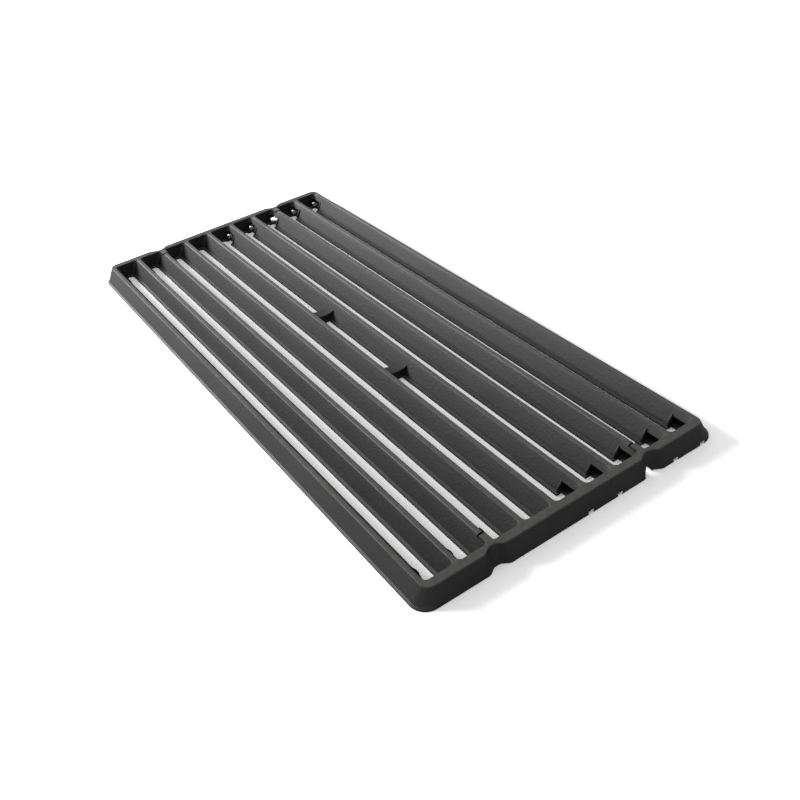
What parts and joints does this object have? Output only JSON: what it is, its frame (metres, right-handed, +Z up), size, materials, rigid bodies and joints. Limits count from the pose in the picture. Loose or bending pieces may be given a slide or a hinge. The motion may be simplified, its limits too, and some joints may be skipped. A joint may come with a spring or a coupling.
{
  "type": "grill grate",
  "caption": "Flat cast-iron cooking grate for a gas grill: parallel ridged bars with sloping flanks and narrow slots, joined by two notched end rails and short middle ties.",
  "frame": {"origin": "on the plane the grate rests on, at the middle of its length and width", "axes": "+X across the bars, +Y along the bars, +Z up, out of the cooking side"},
  "size_m": [0.1628, 0.355, 0.0095],
  "materials": {
    "cast_iron": "matte black as-cast iron with a fine sand grain"
  },
  "bodies": {
    "root": {"grill_grate": "cast_iron"}
  },
  "joints": []
}
